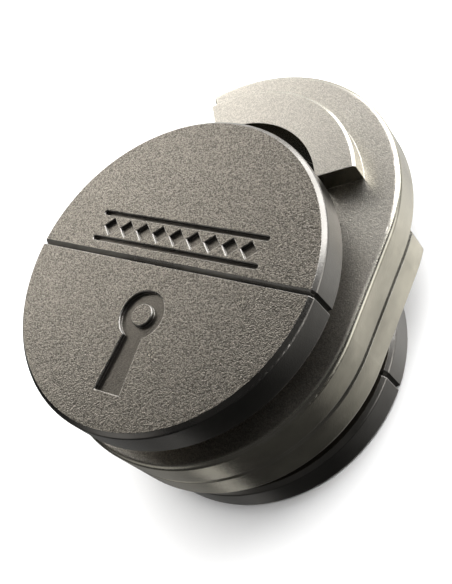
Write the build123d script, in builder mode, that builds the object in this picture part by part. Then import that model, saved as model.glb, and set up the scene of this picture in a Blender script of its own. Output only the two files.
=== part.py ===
"""Disc padlock, a cast take-apart padlock lying on its rear disc.

Two discs stand on a common neck, and the whole spool is split along its middle into an upper and a
lower half. Two identical hook-shaped shackle plates are threaded on the neck between the discs, back
to back. Each plate is an oblong ring with a mouth cut through one shoulder and a raised crescent
round the inside of its shackle opening.

Millimetres. +Z is the front face's normal, +Y points towards the top of the shackle. The origin is
under the middle of the shackle plates, on the surface that the rear disc lies on.
"""
from build123d import *
import os

os.makedirs("parts", exist_ok=True)

# Driving dimensions
FRONT_DISC_RADIUS = 19.7
REAR_DISC_RADIUS = 19.4
DISC_THICKNESS = 4.9
HOOK_RADIUS = 20.3           # round ends of a shackle plate
HOOK_THICKNESS = 4.8
SHACKLE_RISE = 12.1          # from the disc axis up to the centre of the shackle opening
FRONT_GAP = 3.8              # free height between the front disc and the front shackle plate
REAR_GAP = 3.05              # free height between the rear shackle plate and the rear disc
NECK_RADIUS = 9.75
EYE_RADIUS = 11.1            # both round openings of a shackle plate
SPLIT_RISE = 0.38            # from the disc axis up to the split between the spool halves

# Small clearances between loose pieces
SPLIT_GAP = 0.12             # between the upper and the lower half of the spool
HOOK_CLEARANCE = 0.12        # between the two shackle plates
DOWEL_CLEARANCE = 0.01

# Edges
RIM_BEVEL = 0.5              # both rims of a disc
RIM_ROUND = 0.4              # where a rim bevel meets the side wall
SPLIT_BEVELS = {1: 0.45, -1: 0.15}  # all round the cut face of an upper and a lower half disc
ENGRAVING_BEVEL = 0.1        # top edges of the marks on the front face
NECK_FILLET = 0.8
NECK_FLARE = 0.85            # the neck's extra radius where it enters the front disc
NECK_ROOT = 1.5              # how far the neck is sunk into the front disc
HOOK_ROUND = 0.65            # outer edge of a shackle plate's crescent side
HOOK_BACK_BEVEL = 0.3
HOOK_END_FILLET = 0.5
WAIST_FILLET = 1.5           # where a plate's two openings run into each other

# Raised crescent of a shackle plate and the mouth of its hook, in degrees about the shackle opening
CRESCENT_RADIUS = 16.0
CRESCENT_HEIGHT = 2.85
CRESCENT_BEVEL = 0.3
CRESCENT_ANGLES = (24.5, 124.5)
MOUTH_ANGLES = (126.5, 170.0)

# Engraving on the upper half's face, measured up from the disc axis
BAR_LENGTH = 23.9
BAR_WIDTH = 0.5
BAR_HEIGHTS = (2.25, 5.65)
BAR_DEPTH = 0.5
LOZENGE_SIDE = 1.45
LOZENGE_PITCH = 2.5
LOZENGE_COUNT = 9
LOZENGE_DEPTH = 0.4

# Keyhole relief on the lower half's face, measured down from the disc axis
KEY_CENTRE = 5.75
KEY_RADIUS = 2.87
KEY_BOSS_RADIUS = 1.37
KEY_SLOT_TOP_HALF_WIDTH = 1.15
KEY_SLOT_END = 15.05
KEY_SLOT_END_HALF_WIDTH = 1.76
KEY_DEPTH = 0.45

# Dowels that join a front half to its rear half
DOWEL_RADIUS = 1.5
DOWEL_SPACING = 10.0
DOWEL_OFFSET = 3.7           # from the split
DOWEL_IN_DISC = 3.2
DOWEL_IN_NECK = 5.5
DOWEL_END_PLAY = 0.2
DOWEL_CHAMFER = 0.3

# Levels above the rear face, and places
HOOK_PARTING = DISC_THICKNESS + REAR_GAP + HOOK_THICKNESS
FRONT_HOOK_BACK = HOOK_PARTING + HOOK_CLEARANCE / 2
FRONT_HOOK_FACE = HOOK_PARTING + HOOK_THICKNESS
FRONT_DISC_BACK = FRONT_HOOK_FACE + FRONT_GAP
TOTAL_HEIGHT = FRONT_DISC_BACK + DISC_THICKNESS
AXIS_Y = -SHACKLE_RISE / 2
SHACKLE_Y = SHACKLE_RISE / 2
SPLIT_Y = AXIS_Y + SPLIT_RISE
WAIST_X = (EYE_RADIUS**2 - SHACKLE_Y**2) ** 0.5
WEDGE_REACH = 2 * HOOK_RADIUS
TOLERANCE = 0.001
SPOOL_AXIS = Axis((0, AXIS_Y, 0), (0, 0, 1))
SECTION_PLANE = Plane(origin=(0, AXIS_Y, 0), x_dir=(1, 0, 0), z_dir=(0, -1, 0))
FRONT_FACE = Plane.XY.offset(TOTAL_HEIGHT)


def disc_outline(radius, bottom):
    """Cross-section of one disc through its axis, anticlockwise, with a bevel at both rims."""
    inner = radius - RIM_BEVEL
    top = bottom + DISC_THICKNESS
    right = [
        (inner, bottom),
        (radius, bottom + RIM_BEVEL),
        (radius, top - RIM_BEVEL),
        (inner, top),
    ]
    left = [(-x, z) for x, z in reversed(right)]
    return right + left


def half_space(side):
    """Cut plane of one spool half; side is +1 for the upper half and -1 for the lower half."""
    return Plane(origin=(0, SPLIT_Y + side * SPLIT_GAP / 2, 0), z_dir=(0, side, 0))


def half_disc(side, radius, bottom):
    """Half of one disc, with its rims rounded and a bevel all round its cut face."""
    outline = disc_outline(radius, bottom)
    groove_side = (2 * SPLIT_BEVELS[side] + SPLIT_GAP) / 2**0.5
    with BuildPart() as disc:
        with BuildSketch(SECTION_PLANE) as section:
            with BuildLine():
                Polyline((0, bottom), *outline[:4], (0, bottom + DISC_THICKNESS), close=True)
            make_face()
            fillet(section.vertices().group_by(Axis.X)[-1], radius=RIM_ROUND)
        revolve(section.sketch, axis=SPOOL_AXIS)
        split(bisect_by=half_space(side), keep=Keep.TOP)
        for start, end in zip(outline, outline[1:] + outline[:1]):
            first = Vector(start[0], SPLIT_Y, start[1])
            run = Vector(end[0], SPLIT_Y, end[1]) - first
            with BuildSketch(Plane(origin=first, x_dir=(0, 1, 0), z_dir=run)) as groove:
                Rectangle(groove_side, groove_side, rotation=45)
            extrude(groove.sketch, amount=run.length, mode=Mode.SUBTRACT)
    return disc


def half_neck(side):
    """Half of the neck between the discs, flared where it runs into the front disc."""
    flare = NECK_RADIUS + NECK_FLARE
    with BuildPart() as neck:
        with BuildSketch(SECTION_PLANE) as section:
            with BuildLine():
                Polyline(
                    (0, DISC_THICKNESS),
                    (NECK_RADIUS, DISC_THICKNESS),
                    (NECK_RADIUS, FRONT_DISC_BACK),
                    (flare, FRONT_DISC_BACK),
                    (flare, FRONT_DISC_BACK + NECK_ROOT),
                    (0, FRONT_DISC_BACK + NECK_ROOT),
                    close=True,
                )
            make_face()
            corner = section.vertices().filter_by(lambda v: v.X == NECK_RADIUS and v.Z == FRONT_DISC_BACK)
            fillet(corner, radius=NECK_FILLET)
        revolve(section.sketch, axis=SPOOL_AXIS)
        split(bisect_by=half_space(side), keep=Keep.TOP)
    return neck


def dowel_places(side):
    """The two dowels of one spool half."""
    y = SPLIT_Y + side * DOWEL_OFFSET
    return [(-DOWEL_SPACING / 2, y), (DOWEL_SPACING / 2, y)]


def bore_for_dowels(side, depth):
    """The two dowel bores of one spool half, from the neck's foot; a negative depth bores downwards."""
    with BuildSketch(Plane.XY.offset(DISC_THICKNESS)) as bores:
        with Locations(*dowel_places(side)):
            Circle(DOWEL_RADIUS + DOWEL_CLEARANCE)
    return extrude(bores.sketch, amount=depth, mode=Mode.PRIVATE)


def front_half(side):
    """Half of the front disc, with the half-round neck on its back."""
    with BuildPart() as half:
        add(half_disc(side, FRONT_DISC_RADIUS, FRONT_DISC_BACK).part)
        add(half_neck(side).part)
        add(bore_for_dowels(side, DOWEL_IN_NECK), mode=Mode.SUBTRACT)
    return half


def rear_half(side):
    """Half of the rear disc, bored for the dowels that hold it on the neck."""
    with BuildPart() as half:
        add(half_disc(side, REAR_DISC_RADIUS, 0).part)
        add(bore_for_dowels(side, -DOWEL_IN_DISC), mode=Mode.SUBTRACT)
    return half


def dowels(side):
    """The pair of dowels of one spool half, a little shorter than their bores."""
    with BuildPart() as pins:
        with BuildSketch(Plane.XY.offset(DISC_THICKNESS - DOWEL_IN_DISC + DOWEL_END_PLAY)) as ends:
            with Locations(*dowel_places(side)):
                Circle(DOWEL_RADIUS)
        extrude(ends.sketch, amount=DOWEL_IN_DISC + DOWEL_IN_NECK - 2 * DOWEL_END_PLAY)
        chamfer(pins.edges().filter_by(GeomType.CIRCLE), length=DOWEL_CHAMFER)
    return pins


def sector(angles, level):
    """Wedge about the shackle opening that reaches past the plate, from one angle to the other."""
    start, end = angles
    with BuildSketch() as wedge:
        with BuildLine():
            rim = CenterArc((0, SHACKLE_Y), WEDGE_REACH, start, end - start)
            Line((0, SHACKLE_Y), rim @ 0)
            Line((0, SHACKLE_Y), rim @ 1)
        make_face()
    return Plane.XY.offset(level) * wedge.sketch


def break_engraved_edges(piece):
    """Small bevel along the top edges of the marks in a piece's front face, and of any boss in them."""
    *bosses, face = piece.faces().group_by(Axis.Z)[-1].sort_by(SortBy.AREA)
    rims = face.inner_wires() + [boss.outer_wire() for boss in bosses]
    with piece:
        chamfer([edge for rim in rims for edge in rim.edges()], length=ENGRAVING_BEVEL)


# Upper half of the front disc, engraved with two bars and a row of lozenges between them
front_upper_half = front_half(1)
with front_upper_half:
    with BuildSketch(FRONT_FACE) as bars:
        with Locations(*[(0, AXIS_Y + height) for height in BAR_HEIGHTS]):
            SlotOverall(BAR_LENGTH, BAR_WIDTH)
    extrude(bars.sketch, amount=-BAR_DEPTH, mode=Mode.SUBTRACT)
    with BuildSketch(FRONT_FACE) as lozenges:
        with Locations((0, AXIS_Y + sum(BAR_HEIGHTS) / 2)):
            with GridLocations(LOZENGE_PITCH, 0, LOZENGE_COUNT, 1):
                Rectangle(LOZENGE_SIDE, LOZENGE_SIDE, rotation=45)
    extrude(lozenges.sketch, amount=-LOZENGE_DEPTH, mode=Mode.SUBTRACT)
break_engraved_edges(front_upper_half)

# Lower half of the front disc, with the blind keyhole relief and its round boss
front_lower_half = front_half(-1)
with front_lower_half:
    with BuildSketch(FRONT_FACE) as keyhole:
        with BuildLine(Location((0, AXIS_Y))):
            Polyline(
                (-KEY_SLOT_TOP_HALF_WIDTH, -KEY_CENTRE),
                (-KEY_SLOT_END_HALF_WIDTH, -KEY_SLOT_END),
                (KEY_SLOT_END_HALF_WIDTH, -KEY_SLOT_END),
                (KEY_SLOT_TOP_HALF_WIDTH, -KEY_CENTRE),
                close=True,
            )
        make_face()
        with Locations((0, AXIS_Y - KEY_CENTRE)):
            Circle(KEY_RADIUS)
            Circle(KEY_BOSS_RADIUS, mode=Mode.SUBTRACT)
    extrude(keyhole.sketch, amount=-KEY_DEPTH, mode=Mode.SUBTRACT)
break_engraved_edges(front_lower_half)

rear_upper_half = rear_half(1)
rear_lower_half = rear_half(-1)
upper_dowels = dowels(1)
lower_dowels = dowels(-1)

# Front shackle plate: oblong ring, hook mouth at its left shoulder, crescent on its front face
with BuildPart() as front_hook:
    with BuildSketch(Plane.XY.offset(FRONT_HOOK_BACK)) as outline:
        SlotCenterToCenter(SHACKLE_RISE, 2 * HOOK_RADIUS, rotation=90)
    extrude(outline.sketch, amount=FRONT_HOOK_FACE - FRONT_HOOK_BACK)
    fillet(front_hook.faces().sort_by(Axis.Z)[-1].edges(), radius=HOOK_ROUND)
    chamfer(front_hook.faces().sort_by(Axis.Z)[0].edges(), length=HOOK_BACK_BEVEL)
    with BuildSketch(Plane.XY.offset(FRONT_HOOK_BACK)) as openings:
        with Locations((0, AXIS_Y), (0, SHACKLE_Y)):
            Circle(EYE_RADIUS)
    extrude(openings.sketch, amount=HOOK_THICKNESS, mode=Mode.SUBTRACT)
    waist = front_hook.edges().filter_by(Axis.Z).filter_by(
        lambda edge: abs(abs(edge.center().X) - WAIST_X) < TOLERANCE
    )
    fillet(waist, radius=WAIST_FILLET)
    extrude(sector(MOUTH_ANGLES, FRONT_HOOK_BACK), amount=HOOK_THICKNESS, mode=Mode.SUBTRACT)
    mouth_edges = front_hook.edges().filter_by(Axis.Z).filter_by(
        lambda edge: edge.center().X < 0 and edge.center().Y > SHACKLE_Y + TOLERANCE
    )
    fillet(mouth_edges, radius=HOOK_END_FILLET)
    with BuildSketch(Plane.XY.offset(FRONT_HOOK_FACE)) as crescent:
        with Locations((0, SHACKLE_Y)):
            Circle(CRESCENT_RADIUS)
            Circle(EYE_RADIUS, mode=Mode.SUBTRACT)
        add(sector(CRESCENT_ANGLES, FRONT_HOOK_FACE), mode=Mode.INTERSECT)
    extrude(crescent.sketch, amount=CRESCENT_HEIGHT)
    crest = front_hook.faces().sort_by(Axis.Z)[-1].edges().filter_by(GeomType.CIRCLE)
    chamfer(crest.sort_by(lambda edge: edge.radius)[-1], length=CRESCENT_BEVEL)

# Rear shackle plate: the same casting, turned over about the shackle's centre line
with BuildPart() as rear_hook:
    add(front_hook.part.rotate(Axis((0, 0, HOOK_PARTING), (0, 1, 0)), 180))

PIECES = {
    "front_upper_half": front_upper_half,
    "front_lower_half": front_lower_half,
    "rear_upper_half": rear_upper_half,
    "rear_lower_half": rear_lower_half,
    "upper_dowels": upper_dowels,
    "lower_dowels": lower_dowels,
    "front_hook": front_hook,
    "rear_hook": rear_hook,
}
for name, piece in PIECES.items():
    piece.part.label = name
    export_step(piece.part, f"parts/{name}.step")
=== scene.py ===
import math

import bpy
from mathutils import Matrix, Vector


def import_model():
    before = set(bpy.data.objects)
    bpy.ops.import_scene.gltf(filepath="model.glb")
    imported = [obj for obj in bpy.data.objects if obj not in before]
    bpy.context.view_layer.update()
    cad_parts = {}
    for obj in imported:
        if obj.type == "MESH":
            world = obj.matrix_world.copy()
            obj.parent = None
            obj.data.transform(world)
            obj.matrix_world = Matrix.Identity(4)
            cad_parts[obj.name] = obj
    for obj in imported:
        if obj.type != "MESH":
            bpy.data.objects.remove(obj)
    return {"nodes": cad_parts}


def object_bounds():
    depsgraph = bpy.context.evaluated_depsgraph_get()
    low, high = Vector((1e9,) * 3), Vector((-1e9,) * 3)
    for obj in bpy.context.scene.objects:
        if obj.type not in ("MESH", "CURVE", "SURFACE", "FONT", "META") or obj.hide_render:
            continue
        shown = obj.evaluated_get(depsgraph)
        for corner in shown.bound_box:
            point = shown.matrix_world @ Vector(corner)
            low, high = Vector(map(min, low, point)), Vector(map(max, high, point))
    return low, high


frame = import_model()
cad_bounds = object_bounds()
nodes = frame["nodes"]

# ---------------------------------------------------------------- driving values (metres, degrees)
low, high = cad_bounds
HEIGHT = high[2] - low[2]

# Blasted grain, as a fine noise with a share of a coarser one, and the clouds that handling leaves
GRAIN_SIZE = 0.00014
COARSE_GRAIN_SIZE = GRAIN_SIZE / 0.4
FINE_SHARE = 0.8
COARSE_SHARE = 0.2
GRAIN_FADE = 0.0002
ENGRAVING_REACH = 0.0003
CLOUD_SIZE = 0.009

# Noise levels between which a grain or a cloud goes from its one extreme to the other
GRAIN_LEVELS = (0.38, 0.62)
CLOUD_LEVELS = (0.35, 0.65)

# How a surface is told apart by its tilt, which is 1 on front and rear faces and 0 on side walls
FACE_TILT = (0.85, 0.99)
BEVEL_ABOVE_WALL = (0.2, 0.5)
BEVEL_BELOW_FACE = (0.8, 0.95)
CREASE_TURN = (0.999, 0.95)

# Stains, and edges made bright: partly wear, partly a painted highlight
STAIN_SHADES = (0.8, 1.2)
STAIN_ROUGHNESS = 0.15
LEAST_WEAR_AND_HIGHLIGHT = 0.45
WEAR_AND_HIGHLIGHT_SHARE = 0.8
WEAR_POLISH = 0.05
EDGE_SAMPLES = 6

# Camera, in front of the padlock and to its right, rolled so that the shackle points up and right
CAMERA_AIM = Vector((-0.0012, -0.0023, 0.01235))
CAMERA_DISTANCE = 0.1244
CAMERA_AZIMUTH = -24.86
CAMERA_ELEVATION = 49.79
CAMERA_ROLL = -47.09
CAMERA_LENS = 62.25
CAMERA_SENSOR = 36.0
CAMERA_CLIP = 0.001

# Floor, and the shade on it that the opening's walls mirror: radii where it starts to fade and ends
FLOOR_REACH = 2.0
FLOOR_COLOUR = (0.9, 0.9, 0.9)
FLOOR_ROUGHNESS = 0.8
FLOOR_SPECULAR = 0.1
SHADOW_FADE = (0.012, 0.020)
SHADOW_PLACE = (-0.010, 0.012, -0.0001)
SHADOW_COLOUR = (0.02, 0.02, 0.02)

# World: its colour, its strength where nothing glows, and its pale patches, each with its azimuth,
# elevation, inner and outer half angle and strength
WORLD_COLOUR = (1.0, 0.985, 0.96)
WORLD_BASE = 0.04
WORLD_GLOWS = (
    (110, 0, 25, 60, 1.0),
    (62, -54, 0, 45, 0.65),
    (62, -52, 0, 20, 0.65),
    (22, -5, 10, 28, 1.6),
    (208, -48, 0, 26, 0.2),
    (246, -55, 0, 6, 0.8),
    (240, 18, 5, 25, 0.4),
)


def direction(azimuth, elevation):
    """Unit vector from the padlock: azimuth goes from +X towards +Y, elevation up from the floor."""
    turn, rise = math.radians(azimuth), math.radians(elevation)
    return Vector((math.cos(rise) * math.cos(turn), math.cos(rise) * math.sin(turn), math.sin(rise)))


# ---------------------------------------------------------------- small node helpers
def new_material(name):
    """Material with an empty node tree, and the socket that takes its surface."""
    material = bpy.data.materials.new(name)
    material.use_nodes = True
    tree = material.node_tree
    tree.nodes.clear()
    return material, tree, node(tree, "ShaderNodeOutputMaterial").inputs["Surface"]


def node(tree, kind, **settings):
    made = tree.nodes.new(kind)
    for key, value in settings.items():
        setattr(made, key, value)
    return made


def feed(tree, value, socket):
    """Give a socket another node's output, or a number, vector or colour of its own."""
    if isinstance(value, bpy.types.NodeSocket):
        tree.links.new(value, socket)
    elif socket.type == "RGBA":
        socket.default_value = (*value, 1.0)
    else:
        socket.default_value = value


def noise(tree, coords, size, detail, roughness):
    made = node(tree, "ShaderNodeTexNoise")
    feed(tree, coords, made.inputs["Vector"])
    feed(tree, 1.0 / size, made.inputs["Scale"])
    feed(tree, detail, made.inputs["Detail"])
    feed(tree, roughness, made.inputs["Roughness"])
    return made.outputs["Fac"]


def math_node(tree, operation, *values, clamp=False):
    made = node(tree, "ShaderNodeMath", operation=operation, use_clamp=clamp)
    for value, socket in zip(values, made.inputs):
        feed(tree, value, socket)
    return made.outputs[0]


def dot_product(tree, first, second):
    made = node(tree, "ShaderNodeVectorMath", operation="DOT_PRODUCT")
    feed(tree, first, made.inputs[0])
    feed(tree, second, made.inputs[1])
    return made.outputs["Value"]


def z_of(tree, vector):
    made = node(tree, "ShaderNodeSeparateXYZ")
    feed(tree, vector, made.inputs[0])
    return made.outputs["Z"]


def remap(tree, value, from_range, to_range=(0.0, 1.0)):
    made = node(tree, "ShaderNodeMapRange", clamp=True)
    feed(tree, value, made.inputs["Value"])
    limits = (*from_range, *to_range)
    for key, limit in zip(("From Min", "From Max", "To Min", "To Max"), limits):
        feed(tree, limit, made.inputs[key])
    return made.outputs["Result"]


def mix_colour(tree, factor, first, second):
    made = node(tree, "ShaderNodeMix", data_type="RGBA")
    feed(tree, factor, made.inputs["Factor"])
    feed(tree, first, made.inputs["A"])
    feed(tree, second, made.inputs["B"])
    return made.outputs["Result"]


# ---------------------------------------------------------------- materials
def shades(colour, *factors):
    """The same colour made darker or lighter by each factor."""
    return [tuple(min(1.0, channel * factor) for channel in colour) for factor in factors]


def edge_mask(tree, normal, rounded, tilt, cloud, rim_wear_and_highlight):
    """1 along the crease lines of the casting and a given share on its bevels, broken up by the cloud.
    It is partly wear from handling and partly a painted highlight on edges that catch the light."""
    crease = remap(tree, dot_product(tree, rounded, normal), CREASE_TURN)
    above_wall = remap(tree, tilt, BEVEL_ABOVE_WALL, (0.0, rim_wear_and_highlight))
    below_face = remap(tree, tilt, BEVEL_BELOW_FACE, (rim_wear_and_highlight, 0.0))
    bevel = math_node(tree, "MINIMUM", above_wall, below_face)
    edge_wear_and_highlight = math_node(tree, "MAXIMUM", crease, bevel)
    return math_node(tree, "MULTIPLY", edge_wear_and_highlight, remap(tree, cloud, CLOUD_LEVELS, (LEAST_WEAR_AND_HIGHLIGHT, 1.0)))


def face_masks(tree, coords, tilt, grain_from):
    """First 1 on all front and rear faces and 0 on walls, then 1 only on those at least grain_from
    away from the middle plane, where the casting is blasted."""
    flat = remap(tree, tilt, FACE_TILT)
    depth = math_node(tree, "ABSOLUTE", math_node(tree, "SUBTRACT", z_of(tree, coords), HEIGHT / 2))
    outside = remap(tree, depth, (grain_from - GRAIN_FADE, grain_from))
    return flat, math_node(tree, "MULTIPLY", flat, outside)


def cast_metal(name, face_colour, wall_colour, edge_colour, face_roughness, wall_roughness, grain_depth,
               wall_grain, grain_contrast, grain_from, edge_radius, rim_wear_and_highlight):
    """Plated casting: blasted grain on the flat faces, satin side walls, and edges made bright, partly
    by wear and partly as a painted highlight.
    """
    material, tree, surface = new_material(name)
    shader = node(tree, "ShaderNodeBsdfPrincipled")
    feed(tree, shader.outputs["BSDF"], surface)
    coords = node(tree, "ShaderNodeTexCoord").outputs["Object"]
    normal = node(tree, "ShaderNodeNewGeometry").outputs["True Normal"]
    tilt = math_node(tree, "ABSOLUTE", z_of(tree, normal))
    flat, blasted = face_masks(tree, coords, tilt, grain_from)

    fine = noise(tree, coords, GRAIN_SIZE, detail=1.0, roughness=0.5)
    coarse = noise(tree, coords, COARSE_GRAIN_SIZE, detail=1.0, roughness=0.5)
    coarse_part = math_node(tree, "MULTIPLY", coarse, COARSE_SHARE)
    grain = math_node(tree, "MULTIPLY_ADD", fine, FINE_SHARE, coarse_part)
    cloud = noise(tree, coords, CLOUD_SIZE, detail=3.0, roughness=0.6)

    rounding = node(tree, "ShaderNodeBevel", samples=EDGE_SAMPLES)
    feed(tree, edge_radius, rounding.inputs["Radius"])
    rounded = rounding.outputs["Normal"]
    rubbed_wear_and_highlight = edge_mask(tree, normal, rounded, tilt, cloud, rim_wear_and_highlight)

    pit, peak = shades(face_colour, 1 - grain_contrast, 1 + grain_contrast)
    grained = mix_colour(tree, remap(tree, grain, GRAIN_LEVELS), pit, peak)
    faced = mix_colour(tree, blasted, face_colour, grained)
    stained, clean = shades(wall_colour, *STAIN_SHADES)
    walled = mix_colour(tree, remap(tree, cloud, CLOUD_LEVELS), stained, clean)
    plated = mix_colour(tree, flat, walled, faced)
    # Crease lines and bevels painted in the edge colour: partly wear, partly a painted highlight
    bright = math_node(tree, "MULTIPLY", rubbed_wear_and_highlight, WEAR_AND_HIGHLIGHT_SHARE)
    feed(tree, mix_colour(tree, bright, plated, edge_colour), shader.inputs["Base Color"])
    feed(tree, 1.0, shader.inputs["Metallic"])

    plain = remap(tree, flat, (0.0, 1.0), (wall_roughness, face_roughness))
    clouded = math_node(tree, "SUBTRACT", cloud, 0.5)
    rough = math_node(tree, "MULTIPLY_ADD", clouded, STAIN_ROUGHNESS, plain)
    polish = math_node(tree, "MULTIPLY", rubbed_wear_and_highlight, WEAR_POLISH)
    feed(tree, math_node(tree, "SUBTRACT", rough, polish, clamp=True), shader.inputs["Roughness"])

    bump = node(tree, "ShaderNodeBump")
    feed(tree, grain_depth, bump.inputs["Distance"])
    feed(tree, remap(tree, blasted, (0.0, 1.0), (wall_grain, 1.0)), bump.inputs["Strength"])
    feed(tree, grain, bump.inputs["Height"])
    feed(tree, rounded, bump.inputs["Normal"])
    feed(tree, bump.outputs["Normal"], shader.inputs["Normal"])
    return material


def paint(names, material):
    for name in names:
        slots = nodes[name].data.materials
        slots.clear()
        slots.append(material)


# Dark antique plating of the four half discs. Its grain ends a little way down into an engraving.
pewter = cast_metal(
    "dark_pewter_cast",
    face_colour=(0.215, 0.198, 0.172),
    wall_colour=(0.125, 0.121, 0.112),
    edge_colour=(0.55, 0.53, 0.50),
    face_roughness=0.30,
    wall_roughness=0.30,
    grain_depth=0.00008,
    wall_grain=0.25,
    grain_contrast=0.5,
    grain_from=HEIGHT / 2 - ENGRAVING_REACH,
    edge_radius=0.00012,
    # Bevels painted light: partly wear, partly a painted highlight
    rim_wear_and_highlight=0.6,
)
paint(("front_upper_half", "front_lower_half", "rear_upper_half", "rear_lower_half"), pewter)

# Satin nickel plating of the two shackle plates, with grain on every flat face
nickel = cast_metal(
    "satin_nickel_cast",
    face_colour=(0.56, 0.53, 0.48),
    wall_colour=(0.52, 0.495, 0.41),
    edge_colour=(0.85, 0.84, 0.80),
    face_roughness=0.38,
    wall_roughness=0.22,
    grain_depth=0.000035,
    wall_grain=0.4,
    grain_contrast=0.2,
    grain_from=0.0,
    edge_radius=0.00012,
    # Bevels painted light: partly wear, partly a painted highlight
    rim_wear_and_highlight=0.3,
)
paint(("front_hook", "rear_hook"), nickel)

# Bright steel of the hidden dowels
steel = cast_metal(
    "bright_dowel_steel",
    face_colour=(0.55, 0.55, 0.56),
    wall_colour=(0.55, 0.55, 0.56),
    edge_colour=(0.7, 0.7, 0.7),
    face_roughness=0.35,
    wall_roughness=0.25,
    grain_depth=0.00001,
    wall_grain=0.5,
    grain_contrast=0.1,
    grain_from=0.0,
    edge_radius=0.00008,
    rim_wear_and_highlight=0.0,
)
paint(("upper_dowels", "lower_dowels"), steel)


# ---------------------------------------------------------------- studio
def studio_square(name, reach, material):
    """Flat square of the studio, which throws no shadow of its own."""
    mesh = bpy.data.meshes.new(name)
    corners = [(-reach, -reach, 0), (reach, -reach, 0), (reach, reach, 0), (-reach, reach, 0)]
    mesh.from_pydata(corners, [], [(0, 1, 2, 3)])
    mesh.materials.append(material)
    piece = bpy.data.objects.new(name, mesh)
    piece.visible_shadow = False
    bpy.context.scene.collection.objects.link(piece)
    return piece


def floor():
    """Pale floor. The metal doesn't mirror it, but the world's glows below the horizon."""
    material, tree, surface = new_material("pale_floor")
    shader = node(tree, "ShaderNodeBsdfPrincipled")
    feed(tree, shader.outputs["BSDF"], surface)
    feed(tree, FLOOR_COLOUR, shader.inputs["Base Color"])
    feed(tree, FLOOR_ROUGHNESS, shader.inputs["Roughness"])
    feed(tree, FLOOR_SPECULAR, shader.inputs["Specular IOR Level"])
    piece = studio_square("studio_floor", FLOOR_REACH, material)
    piece.visible_glossy = False


def contact_shadow():
    """Shaded floor under the shackle opening, seen only as the opening's walls mirror it."""
    material, tree, surface = new_material("contact_shadow")
    distance = node(tree, "ShaderNodeVectorMath", operation="LENGTH")
    feed(tree, node(tree, "ShaderNodeTexCoord").outputs["Object"], distance.inputs[0])
    dark = node(tree, "ShaderNodeEmission")
    feed(tree, SHADOW_COLOUR, dark.inputs["Color"])
    clear = node(tree, "ShaderNodeBsdfTransparent")
    mix = node(tree, "ShaderNodeMixShader")
    feed(tree, remap(tree, distance.outputs["Value"], SHADOW_FADE), mix.inputs["Fac"])
    feed(tree, dark.outputs[0], mix.inputs[1])
    feed(tree, clear.outputs[0], mix.inputs[2])
    feed(tree, mix.outputs[0], surface)
    piece = studio_square("contact_shadow", SHADOW_FADE[1], material)
    piece.location = SHADOW_PLACE
    piece.visible_camera = False
    piece.visible_diffuse = False


def soft_light(name, azimuth, elevation, distance, size, radiance, colour=(1.0, 1.0, 1.0)):
    """Softbox aimed at the padlock, given by its brightness as seen in a reflection."""
    lamp = bpy.data.lights.new(name, "AREA")
    lamp.shape = "RECTANGLE"
    lamp.size, lamp.size_y = size
    lamp.energy = radiance * math.pi * size[0] * size[1]
    lamp.color = colour
    away = direction(azimuth, elevation)
    piece = bpy.data.objects.new(name, lamp)
    piece.location = CAMERA_AIM + away * distance
    piece.rotation_euler = away.to_track_quat("Z", "Y").to_euler()
    bpy.context.scene.collection.objects.link(piece)
    return piece


def lights():
    """Two softboxes, and an overhead lamp that whitens the floor but isn't mirrored by the metal."""
    overhead = soft_light("floor_fill", 90, 80, distance=1.2, size=(1.2, 1.2), radiance=6.0)
    overhead.visible_glossy = False
    warm = (1.0, 0.98, 0.94)
    soft_light("left_softbox", 160, 28, distance=0.21, size=(0.20, 0.09), radiance=3.6, colour=warm)
    soft_light("right_softbox", 74, 27, distance=0.35, size=(0.37, 0.40), radiance=3.8)


def world():
    """Dark studio with soft pale patches, which the metal mirrors."""
    scene_world = bpy.data.worlds.new("studio_world")
    bpy.context.scene.world = scene_world
    scene_world.use_nodes = True
    tree = scene_world.node_tree
    tree.nodes.clear()
    looking = node(tree, "ShaderNodeTexCoord").outputs["Generated"]
    glow = WORLD_BASE
    for azimuth, elevation, inner, outer, strength in WORLD_GLOWS:
        nearness = dot_product(tree, looking, direction(azimuth, elevation))
        fade = (math.cos(math.radians(outer)), math.cos(math.radians(inner)))
        glow = math_node(tree, "ADD", remap(tree, nearness, fade, (0.0, strength)), glow)
    background = node(tree, "ShaderNodeBackground")
    feed(tree, WORLD_COLOUR, background.inputs["Color"])
    feed(tree, glow, background.inputs["Strength"])
    feed(tree, background.outputs[0], node(tree, "ShaderNodeOutputWorld").inputs["Surface"])


def camera():
    data = bpy.data.cameras.new("photo_camera")
    data.sensor_width = CAMERA_SENSOR
    data.lens = CAMERA_LENS
    data.clip_start = CAMERA_CLIP
    away = direction(CAMERA_AZIMUTH, CAMERA_ELEVATION)
    right = Vector((0, 0, 1)).cross(away).normalized()
    up = away.cross(right)
    basis = Matrix((right, up, away)).transposed()
    basis = basis @ Matrix.Rotation(math.radians(CAMERA_ROLL), 3, "Z")
    piece = bpy.data.objects.new("photo_camera", data)
    piece.matrix_world = Matrix.Translation(CAMERA_AIM + away * CAMERA_DISTANCE) @ basis.to_4x4()
    bpy.context.scene.collection.objects.link(piece)
    bpy.context.scene.camera = piece


floor()
contact_shadow()
world()
lights()
camera()
bpy.context.scene.view_settings.view_transform = "Standard"
